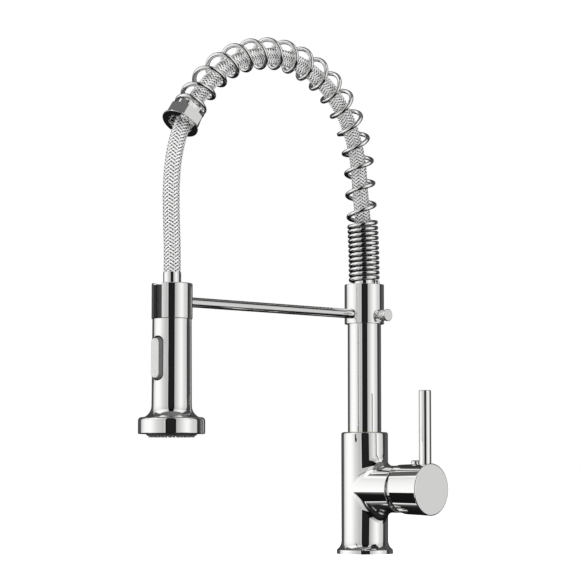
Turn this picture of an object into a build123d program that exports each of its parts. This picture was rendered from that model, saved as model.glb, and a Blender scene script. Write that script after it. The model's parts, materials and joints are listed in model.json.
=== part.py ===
from build123d import *
import math
import os

# Pull-down kitchen faucet with a spring-guided hose, in millimetres.
# Z is up, the deck is z = 0 and the origin is the centre of the base.
# The spout reaches along -Y and the handle's shaft points along +X.

# ---------------------------------------------------------------- driving dimensions
# Valve body
BODY_R = 18.85
BODY_HEIGHT = 97.5
BODY_EDGE = 1.8
FLANGE_STEP = 3.8  # how far the flange stands out from the body
FLANGE_R = BODY_R + FLANGE_STEP
FLANGE_HEIGHT = 3.8
FLANGE_EDGE = 0.6
FLARE_HEIGHT = 6.5  # of the concave flare over the flange
STUB_R = 18.7
STUB_END = 37.9
HANDLE_HEIGHT = 51.8
STUB_BLEND = 10

# Column and its swivel foot
COLUMN_R = 13.5
COLUMN_WALL = 1.2
COLUMN_BORE_R = COLUMN_R - COLUMN_WALL
COLUMN_TOP = 186.8
FOOT_LOW = 70.2
RUNNING = 0.1  # radial clearance of a running fit
SEAT = 0.05  # radial clearance of a soldered, pressed or screwed seat
FOOT_BORE_R = 6.0
O_RING_R = 1.2  # half the thickness of an O-ring's cord
RETAINING_HEIGHT = 86.0
RETAINING_R = 2.5

# Support collar, rod and dock
COLLAR_WALL = 2.5  # of the collar where it laps over the column
COLLAR_R = COLUMN_R + COLLAR_WALL
COLLAR_LOW = 184.8
COLLAR_HIGH = 217.0
NECK_STEP = 3.0
NECK_R = COLUMN_R - NECK_STEP  # neck of the column's head inside the collar
ROD_R = 3.8
ROD_HEIGHT = 192.6
REACH = 213.0  # from the column's axis to the spray head's axis
DOCK_R = 15.25
DOCK_BORE_R = 12.5
DOCK_LOW = 179.1
DOCK_HIGH = 205.7
DOCK_SLOT = 9.0
THUMB_SHANK_R = 2.5
THUMB_HEIGHT = 191.2
THUMB_KNOB_R = 4.9
THUMB_GRIP_R = 4.2  # knurled part of the knob, behind its face
THUMB_GRIP_START = 2.8  # from the collar
THUMB_REACH = 10.2  # from the collar to the knob's face
THUMB_FACE = COLLAR_R + THUMB_REACH
THUMB_RECESS_R = 4.95

# Spring, end nut and hose
SPRING_R = 12.65
WIRE = 3.5
NUT_ACROSS_CORNERS = 28.8
NUT_LENGTH = 14.5
HOSE_R = 6.5
HOSE_BORE_R = 4.0
HOSE_START = 236.0
FERRULE_R = 6.7
FERRULE_HIGH = 214.0

# Cartridge
CARTRIDGE_R = 12.4
CARTRIDGE_FLOOR = 13.2
PIVOT = 33.2  # from the column's axis to the lever's cross pin
DOME_R = 16.8
STEM_HALF = 3.5

# Handle
HUB_REAR_R = 19.5
HUB_FACE_R = 20.6
HUB_FACE = 70.9
HUB_REAR_TOP = 39.2
HUB_REAR_BOTTOM = 45.9
HUB_CAVITY_R = 17.5
HUB_CAVITY_END = 56.2
LEVER_R = 4.85
LEVER_X = 64.2
LEVER_TOP = 130.0
PLUG_R = 3.65
PLUG_X = 54.2

# Spray head
HEAD_TOP_R = 14.6
HEAD_LOW_R = 14.95
HEAD_SHOULDER = 179.0
HEAD_FLARE_TOP = 115.0
HEAD_FLARE_R = 20.4
HEAD_BORE_R = 12.4
NECK_TOP = 196.0
RING_R = 24.9
RING_LOW = 93.9
RING_HIGH = 106.3
PLATE_R = 18.7
PLATE_LOW = 92.6
NOZZLE_LOW = 91.4
BUTTON_WIDTH = 9.8
BUTTON_HEIGHT = 30.8
BUTTON_Z = 149.7
BUTTON_GAP = 0.6
BUTTON_END_GAP = 1.2
BUTTON_CORNER = 4.2
BUTTON_PROUD = 3.1  # how far its face stands out from the shell
BUTTON_DRAFT = 16.0  # slope of its sides in degrees
BUTTON_PIVOT = 8.0  # from the head's axis towards the front

# Centre lines: distance from the column towards the spray head, height
SPRING_POINTS = [
    (0, 217), (0, 248), (4.0, 286), (6.4, 324), (21.5, 357), (50, 381.5),
    (88, 394), (127, 391), (160.5, 377.5), (184, 356.3), (197.3, 338.0),
]
HOSE_POINTS = [
    (0, 236), (0, 258), (4.4, 290), (7.6, 323.5), (22.6, 355.4), (50.8, 379.7),
    (88.1, 392), (126.6, 389), (159.7, 375.6), (183.0, 354.5), (202.0, 331.0),
    (211.4, 305.5), (214.6, 280), (214.2, 256), (213, 234), (213, 214),
]


# ---------------------------------------------------------------- shared helpers
UP = (Align.CENTER, Align.CENTER, Align.MIN)


def rod(radius, low, high):
    """A round bar on Z between two heights."""
    return Pos(0, 0, low) * Cylinder(radius, high - low, align=UP)


def ring(outer, inner, low, high):
    """A round tube on Z between two heights."""
    return rod(outer, low, high) - rod(inner, low - 1, high + 1)


def turned(outline):
    """A solid turned about Z from points of (radius, height, corner radius)."""
    face = make_face(Polyline(*[(r, 0, z) for r, z, _ in outline], close=True)).face()
    for r, z, corner in outline:
        if corner:
            vertex = face.vertices().sort_by_distance((r, 0, z))[0]
            face = face.fillet_2d(corner, [vertex])
    return revolve(face, Axis.Z)


def torus(middle, thickness, height):
    """An O-ring on Z."""
    return Pos(0, 0, height) * Torus(middle, thickness)


def at_column(height):
    """A frame that points from the column's axis along +X."""
    return Pos(0, 0, height) * Rot(0, 90, 0)


def at_head():
    """The spray head's axis."""
    return Pos(0, -REACH, 0)


def in_plane(point):
    """A point of the spout's plane from its distance along the spout and its height."""
    return Vector(0, -point[0], point[1])


def tube_path(name, points):
    """Straight runs joined by the largest tangent arcs that fit them."""
    points = [in_plane(p) for p in points]
    runs = [(b - a).length for a, b in zip(points, points[1:])]
    radii = []
    for i in range(1, len(points) - 1):
        turn = (points[i] - points[i - 1]).get_angle(points[i + 1] - points[i])
        reach = 0.45 * min(runs[i - 1], runs[i])
        radii.append(reach / math.tan(math.radians(turn) / 2))
    print(name, "radii", [round(r) for r in radii])
    return FilletPolyline(*points, radius=radii)


def tube_on(name, path, outer, inner):
    """A tube along a path, and a line that compares its volume with its section."""
    section = Plane(path @ 0, z_dir=path % 0) * (Circle(outer) - Circle(inner))
    solid = sweep(section, path=path)
    expected = math.pi * (outer**2 - inner**2) * path.length
    print(name, "length", round(path.length, 1), "volume ratio", round(solid.volume / expected, 4))
    return solid


parts = {}

# ---------------------------------------------------------------- valve body
CHAMBER_R = COLUMN_R + SEAT
CHAMBER_LOW = 70.0
POCKET_R = CARTRIDGE_R + 2 * RUNNING
THREAD_R = 15.0  # bonnet nut's thread
THREAD_START = 28.7
INLET_X, INLET_Y = -5.5, 6.5
INLET_R, INLET_DEPTH = 4.5, 12.0
STUD_X, STUD_R, STUD_DEPTH = 9.5, 3.4, 14.0
CHANNEL_R = 2.2
CHANNEL_DROP = 3.8  # of the two inlet ports below the handle's axis
OUTLET_RISE = 5.5
OUTLET_R = 3.0
GASKET_WIDTH, GASKET_THICK = 2.8, 1.2
GASKET_OUT = FLANGE_R - 1.25
GASKET_IN = GASKET_OUT - GASKET_WIDTH


def make_valve_body():
    """Casting with the deck flange, the cartridge stub and its waterways."""
    flare_top = FLANGE_HEIGHT + FLARE_HEIGHT
    flare_foot = (FLANGE_R - FLANGE_EDGE, 0, FLANGE_HEIGHT)
    flare = TangentArc((BODY_R, 0, flare_top), flare_foot, tangent=(0, 0, -1))
    outline = Polyline(
        flare_foot, (FLANGE_R, 0, FLANGE_HEIGHT - FLANGE_EDGE), (FLANGE_R, 0, 0), (0, 0, 0),
        (0, 0, BODY_HEIGHT), (BODY_R, 0, BODY_HEIGHT), (BODY_R, 0, flare_top),
    )
    face = make_face([flare, outline]).face()
    rim = face.vertices().sort_by_distance((BODY_R, 0, BODY_HEIGHT))[0]
    column = revolve(face.fillet_2d(BODY_EDGE, [rim]), Axis.Z)
    stub = at_column(HANDLE_HEIGHT) * turned([
        (0, 0, 0), (STUB_R, 0, 0), (STUB_R, STUB_END, 0.6), (0, STUB_END, 0),
    ])
    body = column + stub
    seam = body.edges().filter_by(lambda e: e.geom_type not in (GeomType.CIRCLE, GeomType.LINE))
    body = fillet(seam, STUB_BLEND)
    body -= rod(CHAMBER_R, CHAMBER_LOW, BODY_HEIGHT + 1)
    valve = at_column(HANDLE_HEIGHT)
    body -= valve * rod(POCKET_R, CARTRIDGE_FLOOR, STUB_END + 1)
    body -= valve * rod(THREAD_R + SEAT, THREAD_START, STUB_END + 1)
    for side in (-1, 1):
        port = HANDLE_HEIGHT - CHANNEL_DROP
        body -= Pos(INLET_X, side * INLET_Y, 0) * rod(INLET_R, 0, INLET_DEPTH)
        body -= Pos(INLET_X, side * INLET_Y, 0) * rod(CHANNEL_R, INLET_DEPTH, port)
        across = Pos(0, side * INLET_Y, port) * Rot(0, 90, 0)
        body -= across * rod(CHANNEL_R, INLET_X, CARTRIDGE_FLOOR)
    outlet = HANDLE_HEIGHT + OUTLET_RISE
    body -= Pos(0, 0, outlet) * Rot(0, 90, 0) * rod(OUTLET_R, -OUTLET_R, CARTRIDGE_FLOOR)
    body -= rod(OUTLET_R, outlet, CHAMBER_LOW)
    body -= Pos(STUD_X, 0, 0) * rod(STUD_R, 0, STUD_DEPTH)
    body -= ring(GASKET_OUT, GASKET_IN, -1, GASKET_THICK)
    body -= Pos(0, 0, RETAINING_HEIGHT) * Rot(-90, 0, 0) * rod(RETAINING_R, 0, BODY_R + 1)
    return body


parts["valve_body"] = make_valve_body()
parts["base_gasket"] = ring(GASKET_OUT - SEAT, GASKET_IN + SEAT, 0, GASKET_THICK)

# ---------------------------------------------------------------- cartridge
CARTRIDGE_END = 37.6
HOUSING_BORE_R = 11.2
BASE_THICK = 4.0
DISC_R, DISC_THICK = 10.0, 3.0
MOVING_DISC_R = 7.5
DISC_GAP = 0.02
ROTOR_LOW, ROTOR_HIGH = 27.0, 35.7
BALL_R = 2.6
BALL_ARM = 7.2  # from the cross pin to the ball that slides the moving disc
PIN_R = 1.25
SLOT_HALF_WIDTH = 3.7
NUT_LIP = 2.0
STEM_END = 65.2
LIP_HOLE_R = 9.5
DOME_END = 45.2
DOME_WALL = 1.2


def make_cartridge():
    """The ceramic mixing cartridge, from its floor out to the lever's stem."""
    valve = at_column(HANDLE_HEIGHT)
    base_top = CARTRIDGE_FLOOR + BASE_THICK
    ports = [(CHANNEL_DROP, INLET_Y), (CHANNEL_DROP, -INLET_Y), (-OUTLET_RISE, 0)]
    port_cuts = [Pos(x, y, 0) * rod(CHANNEL_R, 0, STUB_END) for x, y in ports]
    base = rod(CARTRIDGE_R, CARTRIDGE_FLOOR, base_top)
    fixed = rod(DISC_R, base_top, base_top + DISC_THICK)
    seals = []
    for (x, y), cut in zip(ports, port_cuts):
        seat = Pos(x, y, 0) * ring(CHANNEL_R + 1.0, CHANNEL_R + RUNNING, CARTRIDGE_FLOOR, CARTRIDGE_FLOOR + 1)
        seals.append((valve * seat).solid())
        base = base - cut - Pos(x, y, 0) * rod(CHANNEL_R + 1.0, CARTRIDGE_FLOOR, CARTRIDGE_FLOOR + 1)
        fixed -= cut
    housing = ring(CARTRIDGE_R, HOUSING_BORE_R, base_top, CARTRIDGE_END)
    housing += ring(HOUSING_BORE_R + 0.5, 8.0, ROTOR_HIGH + 0.2, CARTRIDGE_END)
    parts["cartridge_base"] = valve * base
    parts["cartridge_seals"] = Compound(children=seals)
    parts["fixed_disc"] = valve * fixed
    parts["cartridge_housing"] = valve * housing

    disc_low = base_top + DISC_THICK + DISC_GAP
    disc_high = disc_low + DISC_THICK
    moving = rod(MOVING_DISC_R, disc_low, disc_high)
    hollow = Pos(0, 0, disc_low) * Box(8.0, 5.0, 1.2, align=UP)
    parts["moving_disc"] = valve * (moving - hollow)
    carrier = rod(MOVING_DISC_R, disc_high, ROTOR_LOW - 0.3)
    socket = rod(BALL_R + 0.25, disc_high, ROTOR_LOW)
    parts["disc_carrier"] = valve * (carrier - socket)

    rotor = rod(HOUSING_BORE_R - RUNNING, ROTOR_LOW, ROTOR_HIGH)
    rotor -= Pos(0, 0, ROTOR_LOW - 1) * Box(13.0, 2 * SLOT_HALF_WIDTH, 20, align=UP)
    rotor -= Pos(0, 0, PIVOT) * Rot(90, 0, 0) * Cylinder(PIN_R, 30)
    parts["cartridge_rotor"] = valve * rotor
    pin_length = 2 * (HOUSING_BORE_R - 1.0)
    parts["stem_pin"] = valve * (Pos(0, 0, PIVOT) * Rot(90, 0, 0) * Cylinder(PIN_R, pin_length))

    stem = Pos(0, 0, PIVOT - 4) * Box(2 * 3.2, 2 * STEM_HALF, STEM_END - PIVOT + 4, align=UP)
    stem = rod(STEM_HALF * 1.3, PIVOT - 4, STEM_END) & stem
    stem += rod(1.9, PIVOT - BALL_ARM, PIVOT - 3)
    stem += Pos(0, 0, PIVOT - BALL_ARM) * Sphere(BALL_R)
    stem -= Pos(0, 0, PIVOT) * Rot(90, 0, 0) * Cylinder(PIN_R + SEAT, 30)
    parts["lever_stem"] = valve * stem

    nut = ring(THREAD_R, POCKET_R + SEAT, THREAD_START + 0.5, STUB_END)
    nut += ring(THREAD_R - 1.2, LIP_HOLE_R, CARTRIDGE_END, CARTRIDGE_END + NUT_LIP)
    parts["bonnet_nut"] = valve * nut

    shell = Pos(0, 0, PIVOT) * (Sphere(DOME_R) - Sphere(DOME_R - DOME_WALL))
    shell &= ring(DOME_R + 1, LIP_HOLE_R, STUB_END, DOME_END)
    parts["bonnet_dome"] = valve * shell


make_cartridge()

# ---------------------------------------------------------------- handle
SOCKET_DEPTH = 5.0
LEVER_SPIGOT_R = 3.0
LEVER_SPIGOT = 6.0
BOSS_R = 7.5
BOSS_START = 51.4
SET_SCREW_X = 60.2
SET_SCREW_R = 2.5
SET_SCREW_LENGTH = 8.0


def make_handle():
    """The hub with its oblique rear edge, the lever pin and what holds them."""
    valve = at_column(HANDLE_HEIGHT)
    middle = HANDLE_HEIGHT
    hub = valve * turned([
        (0, HUB_REAR_TOP - 1, 0),
        (HUB_REAR_R, HUB_REAR_TOP - 1, 0),
        (HUB_FACE_R, HUB_FACE, 1.0),
        (0, HUB_FACE, 0),
    ])
    cavity = valve * rod(HUB_CAVITY_R, 0, HUB_CAVITY_END)
    boss = valve * rod(BOSS_R, BOSS_START, HUB_FACE - 1)
    hub = hub - cavity + boss
    slope = math.degrees(math.atan2(HUB_REAR_BOTTOM - HUB_REAR_TOP, 2 * HUB_REAR_R))
    rear = Pos(HUB_REAR_TOP, 0, middle + HUB_REAR_R) * Rot(0, -slope, 0)
    hub -= rear * Box(40, 80, 120, align=(Align.MAX, Align.CENTER, Align.CENTER))
    square = Box(2 * (3.2 + SEAT), 2 * (STEM_HALF + SEAT), STEM_END + 0.3, align=UP)
    hub -= valve * square
    top = middle + HUB_REAR_R - 1
    lever_seat = top - SOCKET_DEPTH
    hub -= Pos(LEVER_X, 0, 0) * rod(LEVER_R + SEAT, lever_seat, middle + 30)
    hub -= Pos(LEVER_X, 0, 0) * rod(LEVER_SPIGOT_R + SEAT, lever_seat - LEVER_SPIGOT, lever_seat)
    hub -= Pos(SET_SCREW_X, 0, 0) * rod(SET_SCREW_R + SEAT, middle - 30, middle - 3.2)
    hub -= Pos(PLUG_X, 0, 0) * rod(2.0 + SEAT, middle, middle + 30)
    parts["handle_hub"] = hub
    parts["lever_rod"] = Pos(LEVER_X, 0, 0) * (
        turned([
            (0, lever_seat, 0), (LEVER_R, lever_seat, 0),
            (LEVER_R, LEVER_TOP, 0.9), (0, LEVER_TOP, 0),
        ])
        + rod(LEVER_SPIGOT_R, lever_seat - LEVER_SPIGOT + 0.3, lever_seat)
    )
    screw_top = middle - 3.2
    socket = RegularPolygon(1.4, 6)
    screw = rod(SET_SCREW_R, screw_top - SET_SCREW_LENGTH, screw_top)
    screw -= Pos(0, 0, screw_top - SET_SCREW_LENGTH) * extrude(socket, 3)
    parts["handle_set_screw"] = Pos(SET_SCREW_X, 0, 0) * screw
    wall_top = middle + HUB_REAR_R + (HUB_FACE_R - HUB_REAR_R) * (PLUG_X - HUB_REAR_TOP + 1) / (HUB_FACE - HUB_REAR_TOP + 1)
    plug = turned([
        (0, wall_top + 0.1, 0), (PLUG_R, wall_top + 0.1, 0),
        (PLUG_R, wall_top + 2.9, 1.6), (0, wall_top + 2.9, 0),
    ])
    plug += rod(2.0, middle + HUB_CAVITY_R + 0.1, wall_top + 1)
    parts["indicator_plug"] = Pos(PLUG_X, 0, 0) * plug


make_handle()

# ---------------------------------------------------------------- column
FOOT_R = CHAMBER_R - RUNNING
SPIGOT_R = COLUMN_BORE_R - SEAT
COLUMN_LOW = BODY_HEIGHT + 0.3
O_RING_HEIGHTS = (75.0, 80.0)
GROOVE_DEPTH = 2 * O_RING_R
TIP_GROOVE_DEPTH = 1.8
SLIDE_LOW, SLIDE_HIGH = 91.5, 95.5
SLIDE_DEPTH = 1.2
NIPPLE_R = min(SPRING_R - WIRE, NECK_R) - 0.5
NIPPLE_TOP = 222.0
HEAD_SPIGOT = 10.0
ADAPTER_BORE_R = 5.5


def make_column():
    """The riser that swivels in the valve body, with its brass foot and head."""
    foot = rod(FOOT_R, FOOT_LOW, COLUMN_LOW) + rod(SPIGOT_R, COLUMN_LOW, COLUMN_LOW + 10)
    foot -= rod(FOOT_BORE_R, FOOT_LOW - 1, COLUMN_LOW + 11)
    rings = []
    for height in O_RING_HEIGHTS:
        foot -= ring(FOOT_R + 1, FOOT_R - GROOVE_DEPTH, height - 1.5, height + 1.5)
        rings.append(torus(CHAMBER_R - 0.05 - O_RING_R, O_RING_R, height))
    tip_groove = RETAINING_R + 0.4
    foot -= ring(
        FOOT_R + 1, FOOT_R - TIP_GROOVE_DEPTH,
        RETAINING_HEIGHT - tip_groove, RETAINING_HEIGHT + tip_groove,
    )
    foot -= ring(FOOT_R + 1, FOOT_R - SLIDE_DEPTH, SLIDE_LOW, SLIDE_HIGH)
    parts["column_foot"] = foot
    parts["spout_o_rings"] = Compound(children=[r.solid() for r in rings])
    slide = ring(CHAMBER_R - 0.03, FOOT_R - SLIDE_DEPTH + SEAT, SLIDE_LOW, SLIDE_HIGH)
    slide -= Pos(0, COLUMN_R, SLIDE_LOW - 1) * Box(1.5, 6, 10, align=UP)
    parts["swivel_slide_ring"] = slide
    screw_tip = FOOT_R - TIP_GROOVE_DEPTH + 0.4
    screw = Rot(-90, 0, 0) * rod(RETAINING_R - SEAT, screw_tip, BODY_R - 0.4)
    socket = Rot(-90, 0, 0) * Pos(0, 0, BODY_R - 2.5) * extrude(RegularPolygon(1.4, 6), 3)
    parts["spout_retaining_screw"] = Pos(0, 0, RETAINING_HEIGHT) * (screw - socket)
    parts["column_tube"] = ring(COLUMN_R, COLUMN_BORE_R, COLUMN_LOW, COLUMN_TOP)

    head = rod(SPIGOT_R, COLUMN_TOP - HEAD_SPIGOT, COLUMN_TOP)
    head += rod(NECK_R, COLUMN_TOP, COLLAR_HIGH - 0.2) + rod(NIPPLE_R, COLLAR_HIGH - 0.2, NIPPLE_TOP)
    head -= rod(ADAPTER_BORE_R, COLUMN_TOP - HEAD_SPIGOT - 1, NIPPLE_TOP + 1)
    parts["column_head"] = head


make_column()

# ---------------------------------------------------------------- support collar, rod and dock
COLLAR_EDGE = 0.5
ROD_RECESS_R = ROD_R + 0.4
ROD_SPIGOT_R = 3.0
ROD_SPIGOT = 3.0
RECESS_DEPTH = 1.9
PAD_THICK = 1.5
KNOB_RIM = 1.8


def facing(height, turn):
    """A frame whose Z points out of the column, turned about it from +X."""
    return Pos(0, 0, height) * Rot(0, 0, turn) * Rot(0, 90, 0)


def make_support():
    """The collar on the column's neck, the rod and the open dock sleeve."""
    collar = turned([
        (NECK_R + RUNNING, COLLAR_LOW, 0), (COLLAR_R, COLLAR_LOW, COLLAR_EDGE),
        (COLLAR_R, COLLAR_HIGH, COLLAR_EDGE), (NECK_R + RUNNING, COLLAR_HIGH, 0),
    ])
    collar -= rod(COLUMN_R + SEAT, COLLAR_LOW - 1, COLUMN_TOP)
    rod_end = COLLAR_R - 2.0
    to_dock = facing(ROD_HEIGHT, -90)
    collar -= to_dock * rod(ROD_RECESS_R, rod_end, COLLAR_R + 5)
    collar -= to_dock * rod(ROD_SPIGOT_R + SEAT, rod_end - ROD_SPIGOT, rod_end + 1)
    to_side = facing(THUMB_HEIGHT, 0)
    collar -= to_side * rod(THUMB_SHANK_R + RUNNING, 0, COLLAR_R + 5)
    collar -= to_side * rod(THUMB_RECESS_R, COLLAR_R - RECESS_DEPTH, COLLAR_R + 5)
    parts["support_collar"] = collar

    dock_face = REACH - DOCK_R
    bar = to_dock * rod(ROD_R, rod_end, dock_face + 3)
    bar -= at_head() * rod(DOCK_R, DOCK_LOW - 5, DOCK_HIGH + 5)
    bar += to_dock * rod(ROD_SPIGOT_R, rod_end - ROD_SPIGOT + 0.2, rod_end)
    parts["support_rod"] = bar

    sleeve = turned([
        (DOCK_BORE_R, DOCK_LOW, 0.5), (DOCK_R, DOCK_LOW, 0.5),
        (DOCK_R, DOCK_HIGH, 0.9), (DOCK_BORE_R, DOCK_HIGH, 0.9),
    ])
    cut = Pos(0, -DOCK_R, DOCK_LOW - 1) * Box(
        DOCK_SLOT, 2 * (DOCK_R - DOCK_BORE_R) + 10, DOCK_HIGH - DOCK_LOW + 2, align=UP
    )
    parts["dock_sleeve"] = at_head() * (sleeve - cut)

    pad_face = NECK_R
    parts["clamp_pad"] = to_side * rod(THUMB_SHANK_R, pad_face, pad_face + PAD_THICK)
    grip_start = COLLAR_R + THUMB_GRIP_START
    thumb = turned([
        (0, pad_face + PAD_THICK, 0),
        (THUMB_SHANK_R, pad_face + PAD_THICK, 0),
        (THUMB_SHANK_R, COLLAR_R - RECESS_DEPTH, 0),
        (3.0, COLLAR_R + 1.0, 0),
        (3.0, grip_start, 0),
        (THUMB_GRIP_R, grip_start, 0.4),
        (THUMB_GRIP_R, THUMB_FACE - KNOB_RIM, 0),
        (THUMB_KNOB_R, THUMB_FACE - KNOB_RIM, 0.3),
        (THUMB_KNOB_R, THUMB_FACE, 0.6),
        (0, THUMB_FACE, 0),
    ])
    parts["thumb_screw"] = to_side * thumb


make_support()

# ---------------------------------------------------------------- spring, nut and hose
SPRING_BORE_R = SPRING_R - WIRE
NUT_CHAMFER = 1.4
NUT_COLLAR = 3.5
NUT_BORE_R = 9.0
NUT_TURN = 8.0  # of its facets about its axis, in degrees
NUT_FLANGE = 1.2  # thickness of the round flange at the nut's open end
NUT_FLANGE_STEP = 0.2
MOUTH_BEVEL = 0.8


def make_spout():
    """The spring and the hose on their arc, and the nut that ends the spring."""
    spring_path = tube_path("spring", SPRING_POINTS)
    parts["support_spring"] = tube_on("spring", spring_path, SPRING_R, SPRING_BORE_R)
    hose_path = tube_path("hose", HOSE_POINTS)
    parts["spray_hose"] = tube_on("hose", hose_path, HOSE_R, HOSE_BORE_R)

    corner = NUT_ACROSS_CORNERS / 2
    faceted = Pos(0, 0, NUT_COLLAR) * extrude(RegularPolygon(corner, 6), NUT_LENGTH - NUT_COLLAR)
    faceted &= turned([
        (0, NUT_COLLAR, 0), (corner - NUT_CHAMFER, NUT_COLLAR, 0),
        (corner, NUT_COLLAR + NUT_CHAMFER * 0.6, 0), (corner, NUT_LENGTH - NUT_CHAMFER * 0.6, 0),
        (corner - NUT_CHAMFER, NUT_LENGTH, 0), (0, NUT_LENGTH, 0),
    ])
    nut = faceted + rod(SPRING_R - 0.3, 0, NUT_COLLAR)
    flange_r = corner + NUT_FLANGE_STEP
    nut += turned([
        (0, NUT_LENGTH - NUT_FLANGE, 0), (flange_r, NUT_LENGTH - NUT_FLANGE, 0.3),
        (flange_r, NUT_LENGTH, 0.3), (0, NUT_LENGTH, 0),
    ])
    nut -= rod(NUT_BORE_R, -1, NUT_LENGTH + 1)
    nut -= turned([
        (0, NUT_LENGTH - MOUTH_BEVEL, 0), (NUT_BORE_R, NUT_LENGTH - MOUTH_BEVEL, 0),
        (NUT_BORE_R + 2 * MOUTH_BEVEL, NUT_LENGTH + MOUTH_BEVEL, 0), (0, NUT_LENGTH + MOUTH_BEVEL, 0),
    ])
    end = Plane(spring_path @ 1, z_dir=spring_path % 1)
    parts["spring_end_nut"] = end.location * Rot(0, 0, NUT_TURN) * nut

    fitting = rod(HOSE_R + 0.7, NIPPLE_TOP, HOSE_START)
    fitting += rod(ADAPTER_BORE_R - SEAT, NIPPLE_TOP - 12, NIPPLE_TOP)
    fitting -= rod(HOSE_BORE_R, NIPPLE_TOP - 13, HOSE_START + 1)
    parts["hose_inlet_fitting"] = fitting


make_spout()

# ---------------------------------------------------------------- spray head
CONNECTOR_R = 5.5
CONNECTOR_FLANGE_R = 7.5
CHECK_R = 8.9
WEB_LOW = 192.0
FLANGE_LOW = 186.0
FLANGE_TOP = 190.0
WASHER_LOW = 183.5
CHECK_LOW = 171.5
CORE_LOW = 108.5
CORE_R = HEAD_BORE_R - 0.2
SKIRT_LOW = 100.6
SKIRT_R = 15.9
SKIRT_BORE_R = 13.5
RING_EDGE = 2.6
RING_BORE_R = 22.0
RING_LIP_HIGH = 96.2
RING_WEB_LOW = 104.3
MEMBRANE_LOW = 99.2
MEMBRANE_HIGH = 100.4
NOZZLE_R = 0.85
NOZZLE_CIRCLES = ((10.6, 10), (13.6, 14), (16.4, 18))
AERATOR_R = 7.4
PIVOT_PIN_R = 1.0
SPOOL_R = 2.4
SPOOL_RISE = 10.0
PAD_REAR = 12.0  # from the head's axis to the back of the button's pad
PAD_SHELF = 14.1  # from the head's axis to where the pad's sides start to slope
POCKET_DEPTH = 5.5
GUIDE_OUT = DOCK_BORE_R - 0.3
GUIDE_IN = GUIDE_OUT - 1.0
GUIDE_TOP = DOCK_HIGH - 1.4


def pad_prism(width, height, corner, depth_from, depth_to=25.0, draft=0.0):
    """A rounded upright prism through the front of the head, centred on the button."""
    face = RectangleRounded(width, height, corner)
    prism = extrude(face, depth_to - depth_from, taper=draft)
    return Pos(0, -depth_from, BUTTON_Z) * Rot(90, 0, 0) * prism


def head_flare(low, high):
    """The shell's outline from its neck down the concave flare, as a turned solid."""
    flare = TangentArc((HEAD_LOW_R, 0, high), (HEAD_FLARE_R, 0, low), tangent=(0, 0, -1))
    outline = Polyline(
        (HEAD_LOW_R, 0, high), (HEAD_TOP_R, 0, HEAD_SHOULDER), (0, 0, HEAD_SHOULDER), (0, 0, low),
        (HEAD_FLARE_R, 0, low),
    )
    return revolve(make_face([flare, outline]), Axis.Z)


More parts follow.
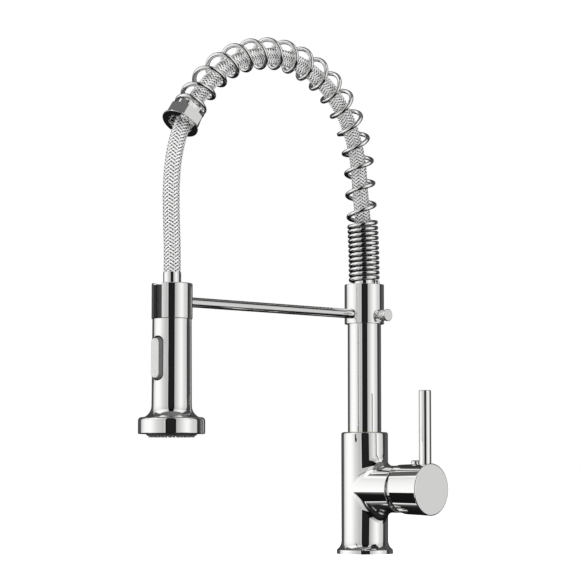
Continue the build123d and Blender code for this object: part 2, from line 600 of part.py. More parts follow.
def make_head_body():
    """The shell, its water core and the check valve, strainer and swivel above them."""
    shell = head_flare(RING_HIGH + 0.1, HEAD_FLARE_TOP)
    shell += turned([
        (0, HEAD_SHOULDER - 1, 0), (GUIDE_IN - SEAT, HEAD_SHOULDER - 1, 0),
        (GUIDE_IN - SEAT, NECK_TOP, 0.6), (0, NECK_TOP, 0),
    ])
    shell += rod(SKIRT_R, SKIRT_LOW, RING_HIGH + 0.2)
    shell -= rod(SKIRT_BORE_R, SKIRT_LOW - 1, CORE_LOW - 0.2)
    shell -= rod(HEAD_BORE_R, CORE_LOW - 1, CHECK_LOW)
    shell -= rod(CHECK_R, CHECK_LOW - 1, WEB_LOW)
    shell -= rod(CONNECTOR_R + RUNNING, WEB_LOW - 1, NECK_TOP + 1)
    opening = pad_prism(
        BUTTON_WIDTH + 2 * BUTTON_GAP, BUTTON_HEIGHT + 2 * BUTTON_END_GAP,
        BUTTON_CORNER + BUTTON_GAP, 5,
    )
    shell -= opening
    core = rod(CORE_R, CORE_LOW, CHECK_LOW - 0.3)
    for y in (0, 6):
        core -= Pos(0, y, 0) * rod(2.0, CORE_LOW - 1, BUTTON_Z - 1)
    core -= Pos(0, 5, 0) * rod(2.6, BUTTON_Z + SPOOL_RISE, CHECK_LOW)
    core -= pad_prism(BUTTON_WIDTH + 2, BUTTON_HEIGHT + 6, 2.0, POCKET_DEPTH)
    across = Pos(0, -BUTTON_PIVOT, BUTTON_Z) * Rot(0, 90, 0)
    core -= across * Cylinder(PIVOT_PIN_R, 40)
    spool_axis = Pos(0, 0, BUTTON_Z + SPOOL_RISE) * Rot(90, 0, 0)
    core -= spool_axis * rod(SPOOL_R + RUNNING, -6.0, 20)
    guide = turned([
        (GUIDE_IN, HEAD_SHOULDER, 0), (GUIDE_OUT, HEAD_SHOULDER, 0),
        (GUIDE_OUT, GUIDE_TOP, 0.4), (GUIDE_IN, GUIDE_TOP, 0.3),
    ])
    parts["neck_guide"] = at_head() * guide
    parts["head_shell"] = at_head() * shell
    parts["water_core"] = at_head() * core
    half = math.sqrt(CORE_R**2 - BUTTON_PIVOT**2) - 0.6
    parts["button_pin"] = at_head() * (across * Cylinder(PIVOT_PIN_R, 2 * half))

    pad_size = (BUTTON_WIDTH, BUTTON_HEIGHT, BUTTON_CORNER)
    pad = pad_prism(*pad_size, PAD_REAR, PAD_SHELF)
    pad += pad_prism(*pad_size, PAD_SHELF, HEAD_TOP_R + BUTTON_PROUD, BUTTON_DRAFT)
    pad = fillet(pad.faces().sort_by(Axis.Y)[0].edges(), 0.5)
    lug = Pos(0, -PAD_REAR - 0.5, BUTTON_Z) * Box(
        6, PAD_REAR - POCKET_DEPTH, 5, align=(Align.CENTER, Align.MIN, Align.CENTER)
    )
    pad = pad + lug - across * Cylinder(PIVOT_PIN_R + SEAT, 40)
    parts["spray_button"] = at_head() * pad
    spool_tip = PAD_REAR - RUNNING - SPOOL_R
    spool = rod(SPOOL_R, -4.0, spool_tip) + Pos(0, 0, spool_tip) * Sphere(SPOOL_R)
    parts["diverter_spool"] = at_head() * (spool_axis * spool)

    check = rod(CHECK_R - SEAT, CHECK_LOW, WASHER_LOW) - rod(4.0, CHECK_LOW - 1, CHECK_LOW + 5)
    check -= rod(5.0, CHECK_LOW + 7, WASHER_LOW + 1)
    parts["check_valve"] = at_head() * check
    parts["strainer_washer"] = at_head() * ring(CHECK_R - SEAT, 3.0, WASHER_LOW, WASHER_LOW + 1.6)

    connector = rod(CONNECTOR_R, FLANGE_LOW, NECK_TOP + 0.6)
    connector += rod(CONNECTOR_FLANGE_R, FLANGE_LOW, FLANGE_TOP)
    connector += turned([
        (0, NECK_TOP + 0.4, 0), (FERRULE_R, NECK_TOP + 0.4, 0.5),
        (FERRULE_R, FERRULE_HIGH, 0.4), (0, FERRULE_HIGH, 0),
    ])
    connector -= rod(HOSE_BORE_R - 0.5, FLANGE_LOW - 1, FERRULE_HIGH + 1)
    parts["hose_connector"] = at_head() * connector
    seal = torus(CONNECTOR_R + 1.05, 0.9, (FLANGE_TOP + WEB_LOW) / 2)
    parts["swivel_o_ring"] = at_head() * seal


def make_spray_face():
    """The wide ring with the nozzle plate, the rubber nozzles and the aerator."""
    face_ring = turned([
        (PLATE_R + 0.4, RING_LOW, 0.4), (RING_R, RING_LOW, 0.8),
        (RING_R, RING_HIGH, RING_EDGE), (SKIRT_R + SEAT, RING_HIGH, 0),
        (SKIRT_R + SEAT, RING_WEB_LOW, 0), (RING_BORE_R, RING_WEB_LOW, 0),
        (RING_BORE_R, RING_LIP_HIGH, 0), (PLATE_R + 0.4, RING_LIP_HIGH, 0),
    ])
    plate = turned([
        (AERATOR_R + SEAT, PLATE_LOW, 0), (PLATE_R, PLATE_LOW, 0.8), (PLATE_R, RING_LIP_HIGH, 0),
        (RING_BORE_R - 0.2, RING_LIP_HIGH, 0), (RING_BORE_R - 0.2, MEMBRANE_LOW, 0),
        (AERATOR_R + SEAT, MEMBRANE_LOW, 0),
    ])
    membrane = ring(RING_BORE_R - 0.4, AERATOR_R + 0.4, MEMBRANE_LOW, MEMBRANE_HIGH)
    for radius, count in NOZZLE_CIRCLES:
        for i in range(count):
            spot = Rot(0, 0, 360 * i / count) * Pos(radius, 0, 0)
            plate -= spot * rod(NOZZLE_R + SEAT, PLATE_LOW - 1, MEMBRANE_LOW + 1)
            membrane += spot * rod(NOZZLE_R, NOZZLE_LOW, MEMBRANE_LOW + 0.5)
    parts["face_ring"] = at_head() * face_ring
    parts["nozzle_plate"] = at_head() * plate
    parts["nozzle_membrane"] = at_head() * membrane
    aerator = rod(AERATOR_R, PLATE_LOW + 0.2, MEMBRANE_HIGH)
    aerator -= rod(AERATOR_R - 1.2, PLATE_LOW, PLATE_LOW + 2.0)
    parts["aerator_insert"] = at_head() * aerator
    spacer = ring(SKIRT_BORE_R - SEAT, SKIRT_BORE_R - 2.0, MEMBRANE_HIGH, CORE_LOW - 0.2)
    parts["face_spacer"] = at_head() * spacer


make_head_body()
make_spray_face()

# ---------------------------------------------------------------- export
os.makedirs("parts", exist_ok=True)
for name, shape in parts.items():
    export_step(shape, f"parts/{name}.step")
print(len(parts), "parts")
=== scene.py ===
# %% [markdown]
# # A kitchen faucet with a spring spout
# This lesson dresses a imported CAD model of a pull-down faucet in Blender. The CAD already holds
# every solid in its place, so the lesson keeps those shapes and works on what CAD can't show:
# the mirror of chrome plate, the spring's wire, the woven steel sleeve of the hose and the
# light of a small studio.
#
# The frame is loaded first, because its pieces, and the boxes of some of them, are read from it.

# %% The imported frame
import json
import math

import bpy
import numpy as np
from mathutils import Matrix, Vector


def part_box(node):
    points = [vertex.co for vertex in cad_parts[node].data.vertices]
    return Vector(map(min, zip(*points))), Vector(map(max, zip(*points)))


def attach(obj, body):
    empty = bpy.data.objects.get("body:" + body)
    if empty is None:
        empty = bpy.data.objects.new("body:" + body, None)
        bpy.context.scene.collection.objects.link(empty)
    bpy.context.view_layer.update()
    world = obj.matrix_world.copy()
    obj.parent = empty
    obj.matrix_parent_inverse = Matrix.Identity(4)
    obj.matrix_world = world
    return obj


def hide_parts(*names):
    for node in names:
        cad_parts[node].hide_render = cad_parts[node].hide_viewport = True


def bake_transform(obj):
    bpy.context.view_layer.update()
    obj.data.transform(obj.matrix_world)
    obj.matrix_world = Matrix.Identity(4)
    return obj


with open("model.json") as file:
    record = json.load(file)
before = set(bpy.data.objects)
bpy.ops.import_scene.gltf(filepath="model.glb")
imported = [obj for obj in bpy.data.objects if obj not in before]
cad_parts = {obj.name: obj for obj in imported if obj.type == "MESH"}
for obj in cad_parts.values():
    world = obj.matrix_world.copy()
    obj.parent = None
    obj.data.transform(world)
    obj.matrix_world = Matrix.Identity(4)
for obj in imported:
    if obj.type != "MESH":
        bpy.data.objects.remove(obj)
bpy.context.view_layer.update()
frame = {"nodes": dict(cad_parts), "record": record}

MM = 0.001

# %% [markdown]
# ## Shader maths as Python
# A finish is a small graph of nodes, and most of its nodes only add, multiply or compare. They
# could be placed by hand in the shader editor, or made one by one in code, and both get long.
# Here one class wraps a socket, so that a sum of two sockets adds the Math node that makes it,
# and one method makes every other kind of node.

# %% A socket that can be reckoned with


def set_stops(ramp, stops):
    """Puts (place, brightness or colour) stops on a colour ramp."""
    while len(ramp.elements) > 1:
        ramp.elements.remove(ramp.elements[-1])
    for i, (place, value) in enumerate(stops):
        element = ramp.elements[0] if i == 0 else ramp.elements.new(place)
        element.position = place
        element.color = (*value, 1.0) if isinstance(value, tuple) else (value, value, value, 1.0)


class Value:
    """A socket in a node tree, so that 1 - mask * 0.4 makes its own Math nodes."""

    def __init__(self, tree, socket=None):
        self.tree = tree
        self.socket = socket

    def make(self, kind, settings=(), sockets=(), output=0):
        """Any node: its settings first, then the values or links of its sockets."""
        node = self.tree.nodes.new(kind)
        for name, setting in dict(settings).items():
            if name == "stops":
                set_stops(node.color_ramp, setting)
            else:
                setattr(node, name, setting)
        for name, value in dict(sockets).items():
            if isinstance(value, Value):
                self.tree.links.new(value.socket, node.inputs[name])
            else:
                node.inputs[name].default_value = value
        return Value(self.tree, node.outputs[output] if len(node.outputs) else None)

    def maths(self, operation, first, second=0.0):
        """A Math node of two values."""
        return self.make("ShaderNodeMath", {"operation": operation}, {0: first, 1: second})

    def __add__(self, other):
        return self.maths("ADD", self, other)

    def __radd__(self, other):
        return self.maths("ADD", other, self)

    def __sub__(self, other):
        return self.maths("SUBTRACT", self, other)

    def __rsub__(self, other):
        return self.maths("SUBTRACT", other, self)

    def __mul__(self, other):
        return self.maths("MULTIPLY", self, other)

    def __rmul__(self, other):
        return self.maths("MULTIPLY", other, self)

    def __pow__(self, other):
        return self.maths("POWER", self, other)


def split(place, axis):
    """One of the three numbers of a place, by its letter."""
    return place.make("ShaderNodeSeparateXYZ", {}, {"Vector": place}, axis)


def climb(value, start, end):
    """0 below the start, 1 above the end and a straight climb in between."""
    return value.make("ShaderNodeMapRange", {}, {"Value": value, 1: start, 2: end})


def mixed(factor, first, second):
    """A colour between two, by a factor that is a Value."""
    sockets = {0: factor, 6: first, 7: second}
    return factor.make("ShaderNodeMix", {"data_type": "RGBA"}, sockets, 2)


def grey(level, warmth=0.0):
    """A grey colour, a touch yellower for a positive warmth."""
    return (level, level, level * (1.0 - warmth), 1.0)


# %% How a finish starts and ends
finishes = {}


def start_finish(name):
    """An empty material, and the Value that its nodes grow from."""
    material = bpy.data.materials.new(name)
    material.use_nodes = True
    material.node_tree.nodes.clear()
    finishes[name] = material
    return Value(material.node_tree)


def spot(paint, scale, detail=2.0, stretch=None):
    """Noise in metres on the piece itself: scale 1000 has grains of about a millimetre."""
    place = paint.make("ShaderNodeTexCoord", output="Object")
    if stretch:
        place = paint.make("ShaderNodeMapping", {}, {"Vector": place, "Scale": stretch})
    return paint.make("ShaderNodeTexNoise", {}, {"Vector": place, "Scale": scale, "Detail": detail})


def bump(paint, height, depth, strength=1.0):
    """Relief of a depth in metres."""
    return paint.make("ShaderNodeBump", {}, {"Height": height, "Distance": depth, "Strength": strength})


def end_finish(paint, **sockets):
    """The shader itself. Underscores in a name stand for spaces."""
    named = {name.replace("_", " "): value for name, value in sockets.items()}
    shader = paint.make("ShaderNodeBsdfPrincipled", {}, named)
    paint.make("ShaderNodeOutputMaterial", {}, {"Surface": shader})


# %% [markdown]
# ## Chrome plate
# The visible metal is brass with bright nickel under a thin skin of chrome. A perfect mirror
# looks like a drawing, so real plate is copied in three small ways: a haze that fingers and
# cloths leave, a colour that drifts between cool and slightly warm, and the long, very shallow
# waves of a hand-polished casting. All three are far weaker than the mirror itself.

# %% Chrome
paint = start_finish("chrome")
haze = spot(paint, 45.0, 4.0)
drift = spot(paint, 18.0, 1.0)
waves = spot(paint, 90.0, 1.0)
scuffs = spot(paint, 2400.0, 3.0, (1.0, 1.0, 0.12))
end_finish(
    paint,
    Base_Color=mixed(drift, grey(0.95, 0.012), grey(0.90, 0.004)),
    Metallic=1.0,
    Roughness=0.022 + 0.05 * haze ** 3.0 + 0.02 * scuffs ** 4.0,
    Normal=bump(paint, waves, 0.00004, 0.25),
)
print("chrome has", len(finishes["chrome"].node_tree.nodes), "nodes")

# %% [markdown]
# ## Bare metals
# Steel pins and screws are turned and left satin, and the brass inside the valve keeps the fine
# rings of the lathe. Noise stretched along one axis gives both their lines.

# %% Steel and brass
paint = start_finish("steel")
lines = spot(paint, 1500.0, 3.0, (1.0, 1.0, 0.06))
end_finish(
    paint,
    Base_Color=mixed(lines, grey(0.42), grey(0.66)),
    Metallic=1.0,
    Roughness=0.24 + 0.22 * lines,
    Normal=bump(paint, lines, 0.00003, 0.5),
)
paint = start_finish("brass")
rings = spot(paint, 1100.0, 2.0, (0.05, 0.05, 1.0))
tarnish = spot(paint, 120.0, 4.0)
end_finish(
    paint,
    Base_Color=mixed(tarnish, (0.74, 0.55, 0.26, 1.0), (0.88, 0.70, 0.38, 1.0)),
    Metallic=1.0,
    Roughness=0.20 + 0.20 * rings,
    Normal=bump(paint, rings, 0.00004, 0.5),
)
print("metals", sorted(finishes))

# %% [markdown]
# ## The hose's woven wire
# Each ribbon of the sleeve is a flat bundle of thin stainless wires that lie side by side. The
# ribbons are real geometry, further down, and carry a map whose first number runs across the
# bundle. That number makes round wires here, as bump and as a painted sheen along each wire, and
# paints shade, near black, on the two edges, where a bundle dips under its neighbours.

# %% Woven stainless wire
WIRES_IN_BUNDLE = 3
# Painted shade covers each bundle's edge up to the first height and is gone by the second.
SHADED_EDGE_ENDS, LIT_CROWN_STARTS = 0.34, 0.72  # heights over a bundle's edge, where its middle is 1
paint = start_finish("braid")
across = split(paint.make("ShaderNodeUVMap", {"uv_map": "across"}), "X")
turn = across * (2.0 * math.pi * WIRES_IN_BUNDLE)
wire_crown_and_sheen = 0.5 - 0.5 * paint.maths("COSINE", turn)
middle = 4.0 * across * (1.0 - across)
clear_of_edge_shade = climb(middle, SHADED_EDGE_ENDS, LIT_CROWN_STARTS)
dust = spot(paint, 700.0, 3.0)
end_finish(
    paint,
    # Base colour: painted shade on each bundle's edges, and a painted sheen along each round wire.
    Base_Color=mixed(clear_of_edge_shade * (0.80 + 0.20 * wire_crown_and_sheen), grey(0.006), grey(1.0, 0.004)),
    Metallic=0.35,
    Roughness=0.34 - 0.12 * wire_crown_and_sheen + 0.08 * dust,
    Normal=bump(paint, wire_crown_and_sheen, 0.00006, 0.6),
)
print("each ribbon shows", WIRES_IN_BUNDLE, "wires")

# %% [markdown]
# ## Rubber, plastics and ceramic
# Seals are black nitrile with a dull, slightly powdery skin, and the nozzles are softer and
# greyer. The face plate is black moulded plastic with a fine spark grain, the cartridge is
# white, and the discs are lapped ceramic.

# %% Soft and moulded finishes


def moulded(name, dark, light, rough, grain, depth, **more):
    """A moulded skin: a cloudy colour between two, and a grain pressed in by the mould."""
    paint = start_finish(name)
    cloud = spot(paint, 160.0, 3.0)
    skin = spot(paint, grain, 2.0)
    end_finish(
        paint,
        Base_Color=mixed(cloud, dark, light),
        Roughness=rough - 0.08 + 0.16 * skin,
        Normal=bump(paint, skin, depth, 0.6),
        **more,
    )


moulded("rubber", grey(0.018), grey(0.04), 0.62, 1800.0, 0.00005)
moulded("nozzle_rubber", grey(0.09), grey(0.14), 0.55, 2200.0, 0.00004)
moulded("dark_plastic", grey(0.012), grey(0.026), 0.36, 3200.0, 0.00005)
moulded("white_plastic", grey(0.78, 0.02), grey(0.86, 0.02), 0.34, 2600.0, 0.00003)
moulded("ceramic", grey(0.80, 0.03), grey(0.88, 0.03), 0.16, 900.0, 0.00001, Coat_Weight=0.4)
print("finishes", sorted(finishes))

# %% [markdown]
# ## The button with painted shade on its sides
# The button's pale face stands proud, and below it the sides are painted dark grey as painted
# shade, so one material changes colour just below the face.

# %% Button with painted side shade
# The pale face is this thick. Below it the sides take painted shade, dark grey, over a short blend.
PALE_FACE_DEPTH = 0.45 * MM  # thickness of the pale face
SIDE_SHADE_BLEND = 0.15 * MM  # over which it gives way to the dark body
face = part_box("spray_button")[0].y
paint = start_finish("grey_plastic")
depth = split(paint.make("ShaderNodeTexCoord", output="Object"), "Y")
# body is 0 on the face and 1 on the sides, which take painted shade.
body = climb(depth, face + PALE_FACE_DEPTH, face + PALE_FACE_DEPTH + SIDE_SHADE_BLEND)
cloud = spot(paint, 160.0, 3.0)
grain = spot(paint, 3600.0, 2.0)
end_finish(
    paint,
    # Painted shade: the sides below the face are dark grey.
    Base_Color=mixed(body, mixed(cloud, grey(0.50, 0.015), grey(0.56, 0.015)), grey(0.10)),
    Roughness=0.36 + 0.16 * grain,
    Normal=bump(paint, grain, 0.00004, 0.6),
)
print("button's face at y =", round(face / MM, 1))

# %% [markdown]
# ## Dressing the CAD pieces
# The record says which finish each piece takes. The pieces stay exactly where they are and keep
# their meshes, and only the material in their slots changes.

# %% Finishes onto the pieces
finish_of = {part["node"]: part["material_slot"] for part in frame["record"]["subparts"]}
for name, piece in frame["nodes"].items():
    for material_slot in piece.material_slots:
        material_slot.material = finishes[finish_of[name]]
print("dressed", len(finish_of), "pieces")

# %% [markdown]
# ## The line of the arch
# The spring and the hose both follow one smooth arch in the spout's plane. It could be sampled
# as arcs, which bends look like pipe work, so a NURBS curve is laid over a few points instead
# and Blender turns it into a fine line. Points are (distance out along the spout, height).

# %% A smooth line through the air
SPRING_ROUTE = [
    (0, 217), (0, 248), (4.0, 286), (6.4, 324), (21.5, 357), (50, 381.5),
    (88, 394), (127, 391), (160.5, 377.5), (184, 356.3), (197.3, 338.0),
]
HOSE_ROUTE = [
    (0, 236), (0, 258), (4.4, 290), (7.6, 323.5), (22.6, 355.4), (50.8, 379.7),
    (88.1, 392), (126.6, 389), (159.7, 375.6), (183.0, 354.5), (202.0, 331.0),
    (211.4, 305.5), (214.6, 280), (214.2, 256), (213, 234), (213, 214),
]


def smooth_line(name, route):
    """Places along the NURBS curve over a route, in metres, and how far along each one is."""
    curve = bpy.data.curves.new(name, "CURVE")
    curve.dimensions = "3D"
    curve.resolution_u = 64
    spline = curve.splines.new("NURBS")
    spline.points.add(len(route) - 1)
    for point, (out, up) in zip(spline.points, route):
        point.co = (0.0, -out * MM, up * MM, 1.0)
    spline.order_u = 3
    spline.use_endpoint_u = True
    holder = bpy.data.objects.new(name, curve)
    bpy.context.scene.collection.objects.link(holder)
    bpy.context.view_layer.update()
    line = bpy.data.meshes.new_from_object(holder)
    places = np.array([v.co for v in line.vertices], float)
    bpy.data.objects.remove(holder)
    bpy.data.meshes.remove(line)
    along = np.concatenate([[0.0], np.cumsum(np.linalg.norm(np.diff(places, axis=0), axis=1))])
    print(name, "is", round(along[-1] / MM, 1), "mm long")
    return places, along


SIDE = np.array([1.0, 0.0, 0.0])  # square to the spout's plane


def station(line, distances):
    """Centres on a line at given distances, with the two directions square to it there."""
    places, along = line
    centres = np.stack([np.interp(distances, along, places[:, i]) for i in range(3)], axis=1)
    headings = np.gradient(places, along, axis=0)
    headings = np.stack([np.interp(distances, along, headings[:, i]) for i in range(3)], axis=1)
    headings /= np.linalg.norm(headings, axis=1)[:, None]
    sideways = np.broadcast_to(SIDE, headings.shape)
    return centres, sideways, np.cross(headings, sideways)


spring_line = smooth_line("spring_line", SPRING_ROUTE)
hose_line = smooth_line("hose_line", HOSE_ROUTE)

# %% [markdown]
# ## Sheets of quads
# The wire and the ribbons are both long strips of quads: rows of points that run the length of
# the piece. One helper joins such a grid into a mesh. A strip can close on itself round the
# wire, or stay open as a ribbon does.

# %% A grid of points into a mesh


def grid_piece(name, grids, closed, slot, finish=None):
    """A smooth mesh from grids of points (rows, columns, xyz), mapped across and along."""
    points = []
    faces = []
    marks = []
    for grid in grids:
        rows, columns = grid.shape[:2]
        first = len(points)
        points.extend(grid.reshape(-1, 3).tolist())
        last = columns if closed else columns - 1
        for i in range(rows - 1):
            start, end = i / (rows - 1), (i + 1) / (rows - 1)
            for j in range(last):
                k = (j + 1) % columns
                low = first + i * columns
                high = low + columns
                left, right = j / last, (j + 1) / last
                faces.append((low + j, low + k, high + k, high + j))
                marks.extend((left, start, right, start, right, end, left, end))
        if closed:
            faces.append(tuple(range(first + columns - 1, first - 1, -1)))
            faces.append(tuple(range(first + (rows - 1) * columns, first + rows * columns)))
            end_corners = 2 * columns
            marks.extend([0.0, 0.0] * end_corners)
    mesh = bpy.data.meshes.new(name)
    mesh.from_pydata(points, [], faces)
    mesh.polygons.foreach_set("use_smooth", [True] * len(faces))
    layer = mesh.uv_layers.new(name="across")
    layer.data.foreach_set("uv", marks)
    mesh.materials.append(finishes[finish or slot])
    mesh.update()
    piece = bpy.data.objects.new(name, mesh)
    bpy.context.scene.collection.objects.link(piece)
    print(name, "has", len(faces), "faces")
    return piece


# %% [markdown]
# ## The spring
# The spring is one chromed wire, wound right-handed round the hose. At the foot its turns lie
# almost shut, which makes the stiff sleeve above the collar, and then the pitch opens over the
# arch. It could be a Screw modifier on a circle, but that can't bend or change pitch, so the
# turns are counted along the arch and the wire is swept along the helix they give.

# %% Counting the turns
SPRING_R = 12.65 * MM
WIRE_R = 1.75 * MM
TIGHT_PITCH = 3.98 * MM
OPEN_PITCH = 17.7 * MM
SHUT_PITCH = 3.4 * MM
TIGHT_END = 47.0 * MM  # distance along the arch where the turns open
OPENING = 7.0 * MM
SHUT_END = 5.5 * MM  # length of the shut turn that sits on the nut
SHUTTING = 0.6 * SHUT_END  # distance over which the turns shut
MARK = 64.6 * MM  # at this distance the wire is at MARK_TURN round the arch
MARK_TURN = math.radians(42.0)
STEPS_PER_TURN = 44
SIDES = 20
SAMPLES = 6000  # of the pitch along the arch


def ease(x):
    """0 to 1 with a soft start and end."""
    x = np.clip(x, 0.0, 1.0)
    return x * x * (3.0 - 2.0 * x)


length = spring_line[1][-1]
distance = np.linspace(WIRE_R, length - WIRE_R, SAMPLES)
opened = ease((distance - TIGHT_END) / OPENING)
shut = ease((distance - (length - WIRE_R - SHUT_END)) / SHUTTING)
density = (1 - opened) / TIGHT_PITCH + opened * ((1 - shut) / OPEN_PITCH + shut / SHUT_PITCH)
steps = np.diff(distance) * 0.5 * (density[1:] + density[:-1])
turns = np.concatenate([[0.0], np.cumsum(steps)])
turns += MARK_TURN / (2 * math.pi) - np.interp(MARK, distance, turns)
print("spring turns", round(turns[-1] - turns[0], 2))

# %% [markdown]
# Between turns that lie shut the wire is in shade, so there it is painted near black as painted
# shade and made dull, and only its outer side has the mirror. The map across the wire starts at its
# outer side and the one along it counts the turns, so the two together say where that is.

# %% Wire with painted shade where the turns lie shut
# Below the first cosine the wire takes painted shade and a dull skin; above the second it is a full
# mirror.
SHADED_DULL_ENDS, MIRROR_STARTS = 0.50, 0.74  # cosines of the angle from the wire's outer side
FIRST_OPEN, ALL_OPEN = 0.005, 0.03  # shares of all turns past the last shut one
shut_share = float((np.interp(TIGHT_END, distance, turns) - turns[0]) / (turns[-1] - turns[0]))
paint = start_finish("spring_wire")
wire_map = paint.make("ShaderNodeUVMap", {"uv_map": "across"})
outer_side = paint.maths("COSINE", split(wire_map, "X") * (2.0 * math.pi))
outer_side_clear_of_shade = climb(outer_side, SHADED_DULL_ENDS, MIRROR_STARTS)
opened_up = climb(split(wire_map, "Y"), shut_share + FIRST_OPEN, shut_share + ALL_OPEN)
clear_of_crevice_shade = paint.maths("MAXIMUM", outer_side_clear_of_shade, opened_up)
drift = spot(paint, 18.0, 1.0)
end_finish(
    paint,
    # Painted shade: near black where shut turns face each other.
    Base_Color=mixed(clear_of_crevice_shade, grey(0.015), mixed(drift, grey(0.96, 0.012), grey(0.92, 0.004))),
    Metallic=1.0,
    Roughness=0.34 - 0.30 * clear_of_crevice_shade,
)
print("shut turns are", round(100 * shut_share), "% of all turns")

# %% Sweeping the wire
count = int((turns[-1] - turns[0]) * STEPS_PER_TURN)
turn_at = np.linspace(turns[0], turns[-1], count)
distance_at = np.interp(turn_at, turns, distance)
centres, sideways, upward = station(spring_line, distance_at)
angle = (2 * math.pi * turn_at)[:, None]
outward = np.cos(angle) * sideways + np.sin(angle) * upward
wire = centres + (SPRING_R - WIRE_R) * outward
ahead = np.gradient(wire, axis=0)
ahead /= np.linalg.norm(ahead, axis=1)[:, None]
outward -= np.sum(outward * ahead, axis=1)[:, None] * ahead
outward /= np.linalg.norm(outward, axis=1)[:, None]
beside = np.cross(ahead, outward)
round_wire = [2 * math.pi * j / SIDES for j in range(SIDES)]
ring = [math.cos(a) * outward + math.sin(a) * beside for a in round_wire]
tube = np.stack([wire + WIRE_R * direction for direction in ring], axis=1)
spring = grid_piece("spring", [tube], True, "chrome", "spring_wire")
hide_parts("support_spring")

# %% [markdown]
# ## The hose
# A rubber hose carries the water, and a sleeve of woven stainless ribbons keeps it from
# bursting. The sleeve could be a bump pattern, but then its edge stays a smooth line and the
# light never catches single ribbons. So every ribbon is made: half of them climb one way round
# the hose and half the other, and each goes over two and under two, with the next ribbon one
# step behind, which stacks the crossings into the rows of V shapes that such a hose has.

# %% Weaving the ribbons
HOSE_R = 6.5 * MM
BUNDLES = 10  # ribbons that climb each way
FLOAT = 2  # ribbons that each one passes over, and then under
WEAVE_TURN = 27.0 * MM  # length of hose for one turn of a ribbon
LIFT = 0.26 * MM
CROWN = 0.30 * MM
BUNDLE_HALF = 0.5 * 0.84 * 2 * math.pi / BUNDLES  # half a ribbon's share of the turn, as an angle
STEPS_PER_CROSSING = 3
ACROSS = 5

hose_length = hose_line[1][-1]
crossing = WEAVE_TURN / (2 * BUNDLES)
rows = int(hose_length / crossing * STEPS_PER_CROSSING)
distances = np.linspace(0.0, hose_length, rows)
centres, sideways, upward = station(hose_line, distances)
ribbons = []
for way in (1, -1):
    for k in range(BUNDLES):
        met = 2 * k + way * distances / crossing
        over = way * np.cos(2 * math.pi * (met - 0.5 * (FLOAT - 1)) / (2 * FLOAT))
        grid = []
        for t in np.linspace(-1.0, 1.0, ACROSS):
            middle = 2 * math.pi * k / BUNDLES + way * 2 * math.pi * distances / WEAVE_TURN
            angle = (middle + t * BUNDLE_HALF)[:, None]
            radius = HOSE_R - LIFT - CROWN + LIFT * over + CROWN * (1 - t * t)
            outward = np.cos(angle) * sideways + np.sin(angle) * upward
            grid.append(centres + radius[:, None] * outward)
        ribbons.append(np.stack(grid if way == -1 else grid[::-1], axis=1))
braid = grid_piece("hose_sleeve", ribbons, False, "braid")
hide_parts("spray_hose")

# %% The rubber hose under the sleeve
CORE_R = HOSE_R - 2.2 * LIFT - CROWN  # just clear of the ribbons where they dip
CORE_STEPS = 320
CORE_SIDES = 28
core_at = np.linspace(0.0, hose_length, CORE_STEPS)
centres, sideways, upward = station(hose_line, core_at)
round_hose = [2 * math.pi * j / CORE_SIDES for j in range(CORE_SIDES)]
skin = [centres + CORE_R * (math.cos(a) * sideways + math.sin(a) * upward) for a in round_hose]
core = grid_piece("hose_rubber", [np.stack(skin, axis=1)], True, "rubber")

# %% [markdown]
# ## The knurled grip of the thumb screw
# Fingers turn the thumb screw by a grip with a diamond knurl: two sets of grooves rolled in at
# a slant, one each way, that leave a small pyramid between them. It could be a bump map, but
# the grip is seen from the side, where its outline shows the teeth, so they are real.

# %% Rolling the knurl
KNOB_REACH = 10.2 * MM  # from the collar to the knob's face
KNOB_RIM = 1.75 * MM  # the smooth rim behind that face
GRIP_GAP = 3.0 * MM  # from the collar to the grip
GRIP_R = 4.22 * MM
TOOTH = 0.38 * MM
TEETH_ROUND = 16
STEPS_PER_TOOTH = 8
knob_low, knob_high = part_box("thumb_screw")
grip_start = knob_high.x - KNOB_REACH + GRIP_GAP
grip_end = knob_high.x - KNOB_RIM
tooth_width = 2 * math.pi * GRIP_R / TEETH_ROUND
columns = TEETH_ROUND * STEPS_PER_TOOTH
rows = int((grip_end - grip_start) / tooth_width * STEPS_PER_TOOTH)
places_out = np.linspace(grip_start, grip_end, rows)
out, angle = np.meshgrid(places_out, np.arange(columns), indexing="ij")
angle = 2 * math.pi * angle / columns
turned_by = angle * TEETH_ROUND / (2 * math.pi)
slopes = [1 - abs(2 * ((turned_by + way * out / tooth_width) % 1.0) - 1) for way in (1, -1)]
radius = GRIP_R + TOOTH * np.minimum(slopes[0], slopes[1])
axis_z = (knob_low.z + knob_high.z) / 2
grip = np.stack([out, radius * np.cos(angle), axis_z + radius * np.sin(angle)], axis=2)
knurl = grid_piece("thumb_grip", [grip], True, "chrome")
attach(knurl, "thumb_knob")

# %% [markdown]
# ## The spring and the hose in place
# The spray head, its connector and the nut come down together when the head is pulled. On the
# real faucet the spring and the hose stay with the column at their foot and follow the nut at
# their other end. Here they only have their placing baked into their meshes.

# %% Baking the placing
for piece in (spring, braid, core):
    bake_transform(piece)

# %% [markdown]
# ## A studio for chrome
# Chrome has no colour of its own: it shows the room. A product studio is built of a few large
# white walls and a dark gap where the camera stands, and those make the long light and dark
# bands down a polished tube. Area lights would do it with much noise, so the room is painted on
# the world, in rings one over the other, each with its own light and dark round the compass.

# %% How bright the room looks


def looks(level):
    """Light that shows as a brightness between 0, black, and 1, white, on polished chrome."""
    plate = 0.92  # share of the light that the plate sends back; the rest is the sRGB curve
    return ((level + 0.055) / 1.055) ** 2.4 / plate


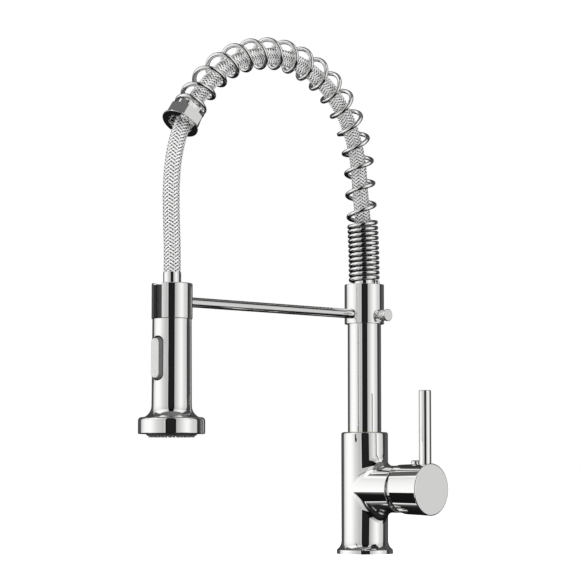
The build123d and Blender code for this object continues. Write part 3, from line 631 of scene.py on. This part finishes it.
# The room in rings from the nadir up: the height in degrees where a ring starts, how softly it
# does, and (compass degrees from +X towards +Y, brightness) round it.
WALLS = [
    (-180, 0.34), (-173, 0.36), (-169, 0.80), (-158, 0.90), (-145, 0.985), (-122, 1.0),
    (-110, 0.95), (-95, 0.84), (-82, 0.79), (-73, 0.73), (-64.5, 0.80), (-63.5, 0.03),
    (-57, 0.13), (-34, 0.13), (-28, 0.03), (-27, 0.70), (-20, 0.75), (-8, 0.86), (4, 0.95),
    (12, 0.985), (22, 0.94), (32, 0.84), (53, 0.80), (56, 0.20), (63, 0.20), (78, 0.33),
    (95, 0.34), (140, 0.22), (170, 0.30), (180, 0.34),
]
HIGH_WALLS = [
    (-180, 0.36), (-159, 0.36), (-155, 0.95), (-145, 1.0), (-110, 0.98), (-85, 0.88), (-66, 0.78),
    (-63, 0.05), (-30, 0.05), (-27, 0.74), (0, 0.92), (20, 0.98), (48, 0.88), (57, 0.24),
    (90, 0.34), (140, 0.24), (180, 0.36),
]
ROOM = [
    (-90.0, 1.0, [(-180, 0.15), (180, 0.15)]),
    (-47.0, 2.0, [
        (-180, 0.16), (-172, 0.16), (-166, 0.46), (-110, 0.44), (-80, 0.10), (180, 0.10),
    ]),
    (-43.2, 0.6, [
        (-180, 0.12), (-172, 0.12), (-166, 0.95), (-125, 0.95), (-95, 0.08), (180, 0.08),
    ]),
    (-41.1, 0.6, [(-180, 0.08), (-60, 0.05), (60, 0.04), (180, 0.08)]),
    (-30.0, 8.0, [
        (-180, 0.08), (-134, 0.08), (-129, 0.90), (-66, 0.75), (-63, 0.05), (-30, 0.05),
        (-27, 0.60), (20, 0.86), (50, 0.80), (57, 0.10), (180, 0.08),
    ]),
    (-10.6, 0.8, WALLS),
    (37.4, 0.8, [
        (-180, 1.0), (-90, 1.0), (-66, 0.78), (-63, 0.05), (-30, 0.05), (-27, 0.74),
        (57, 0.9), (60, 0.2),
    ]),
    (39.8, 1.0, HIGH_WALLS),
    (61.0, 4.0, [(-180, 0.40), (-60, 0.42), (60, 0.44), (180, 0.40)]),
]
# How much of the walls' light is left at each height.
WALL_FADE = [(-12, 0.99), (0, 0.99), (12, 0.95), (24, 0.89), (37, 0.80), (41, 1.0)]


def up(degrees):
    """A height over the horizon as the share of the way from the nadir to the zenith."""
    return (math.sin(math.radians(degrees)) + 1) / 2


# %% Painting the room on the world
world = bpy.data.worlds.new("studio")
bpy.context.scene.world = world
world.use_nodes = True
world.node_tree.nodes.clear()
room = Value(world.node_tree)
direction = room.make("ShaderNodeTexCoord", output="Generated")
compass = room.maths("ARCTAN2", split(direction, "Y"), split(direction, "X"))
compass = compass * (0.5 / math.pi) + 0.5
height = split(direction, "Z") * 0.5 + 0.5
seen = None
for start, soft, stops in ROOM:
    round_stops = [((a + 180) / 360, looks(v)) for a, v in stops]
    ring = room.make("ShaderNodeValToRGB", {"stops": round_stops}, {"Fac": compass})
    if stops is WALLS:
        fade_stops = [(up(e), v) for e, v in WALL_FADE]
        fade = room.make("ShaderNodeValToRGB", {"stops": fade_stops}, {"Fac": height})
        multiply = {"data_type": "RGBA", "blend_type": "MULTIPLY"}
        ring = room.make("ShaderNodeMix", multiply, {0: 1.0, 6: ring, 7: fade}, 2)
    if seen:
        ring = mixed(climb(height, up(start - soft / 2), up(start + soft / 2)), seen, ring)
    seen = ring
in_room = room.make("ShaderNodeBackground", {}, {"Color": seen})
backdrop = room.make("ShaderNodeBackground", {}, {"Color": (1.0, 1.0, 1.0, 1.0), "Strength": 1.0})
straight = room.make("ShaderNodeLightPath", output="Is Camera Ray")
shown = room.make("ShaderNodeMixShader", {}, {0: straight, 1: in_room, 2: backdrop})
room.make("ShaderNodeOutputWorld", {}, {"Surface": shown})
bpy.context.scene.view_settings.view_transform = "Standard"
print("the room has", len(ROOM), "rings and", len(WALLS), "directions in its walls")

# %% [markdown]
# ## Floor and soft light
# The faucet stands on a plain pale floor that runs out to white, so that nothing competes with
# it. Polished metal doesn't show the floor here: it sees the room's own dark foot instead,
# which keeps the underside of the handle from washing out.

# %% Floor
paint = start_finish("pale_floor")
tint = spot(paint, 6.0, 2.0)
end_finish(
    paint,
    Base_Color=mixed(tint, grey(0.80), grey(0.84)),
    Roughness=0.9,
    Emission_Color=(1.0, 1.0, 1.0, 1.0),
    Emission_Strength=0.80,
)
FLOOR = 12.0  # metres from the faucet to its edges
mesh = bpy.data.meshes.new("floor")
corners = [(-FLOOR, -FLOOR, 0.0), (FLOOR, -FLOOR, 0.0), (FLOOR, FLOOR, 0.0), (-FLOOR, FLOOR, 0.0)]
mesh.from_pydata(corners, [], [(0, 1, 2, 3)])
mesh.materials.append(finishes["pale_floor"])
floor = bpy.data.objects.new("floor", mesh)
bpy.context.scene.collection.objects.link(floor)
floor.visible_glossy = False
print("floor is", 2 * FLOOR, "m wide")

# %% A soft light overhead
lamp = bpy.data.lights.new("soft_box", "AREA")
lamp.shape = "SQUARE"
lamp.size = 1.4
lamp.energy = 24.0
soft_box = bpy.data.objects.new("soft_box", lamp)
soft_box.location = (0.5, -0.7, 1.6)
lit_spot = Vector((0, 0, 0.1))
soft_box.rotation_euler = (lit_spot - soft_box.location).to_track_quat("-Z", "Y").to_euler()
soft_box.visible_glossy = False
bpy.context.scene.collection.objects.link(soft_box)
print("soft box at", tuple(round(v, 2) for v in soft_box.location))

# %% [markdown]
# ## The camera
# The faucet is seen from its handle side, turned 44 degrees from a view straight along the
# handle, from low over the deck and with a long lens, which keeps the tubes parallel.

# %% Camera
TURN = math.radians(44.0)
RISE = math.radians(4.47)
AWAY = 1.8223  # from the camera to the column, along the way it looks
ASIDE = 0.0603  # how far the column stands to the right of the middle
EYE = 0.0703  # height of the lens over the deck
ahead = Vector((-math.sin(TURN), math.cos(TURN), 0.0))
right = Vector((math.cos(TURN), math.sin(TURN), 0.0))
camera_data = bpy.data.cameras.new("camera")
camera_data.sensor_width = 36.0
camera_data.lens = 139.7
camera = bpy.data.objects.new("camera", camera_data)
camera.location = -AWAY * ahead - ASIDE * right + Vector((0, 0, EYE))
gaze = ahead * math.cos(RISE) + Vector((0, 0, math.sin(RISE)))
camera.rotation_euler = gaze.to_track_quat("-Z", "Y").to_euler()
bpy.context.scene.collection.objects.link(camera)
bpy.context.scene.camera = camera
print("camera at", tuple(round(v, 3) for v in camera.location))
